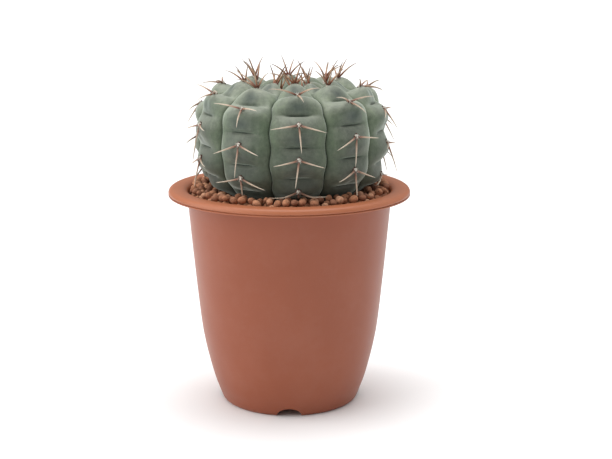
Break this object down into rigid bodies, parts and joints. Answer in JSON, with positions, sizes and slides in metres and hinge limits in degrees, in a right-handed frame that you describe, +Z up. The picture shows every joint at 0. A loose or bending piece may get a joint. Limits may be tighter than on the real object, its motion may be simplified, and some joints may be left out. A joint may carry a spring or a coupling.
{
  "type": "potted chin cactus",
  "caption": "Squat ribbed chin cactus with spined areoles, growing from a top dressing of clay pebbles in a flared round plastic pot with a rolled rim, drainage notches and holes in its floor.",
  "frame": {"origin": "on the ground at the pot's axis, bottom centre", "axes": "+Z up along the pot's axis; -Y is the front of the plant; +X is to its right"},
  "size_m": [0.11, 0.11, 0.158],
  "materials": {
    "pot_plastic": "satin moulded plastic, terracotta brown",
    "potting_mix": "dark damp potting mix",
    "clay_pebbles": "fired clay granules, dry and rough",
    "cactus_skin": "matte grey-green skin",
    "cactus_spine": "dry horny spines, pink-brown to cream",
    "areole_wool": "short cream wool"
  },
  "bodies": {
    "root": {"pot": "pot_plastic", "potting_mix": "potting_mix", "gravel": "clay_pebbles", "cactus": "cactus_skin"}
  },
  "joints": []
}
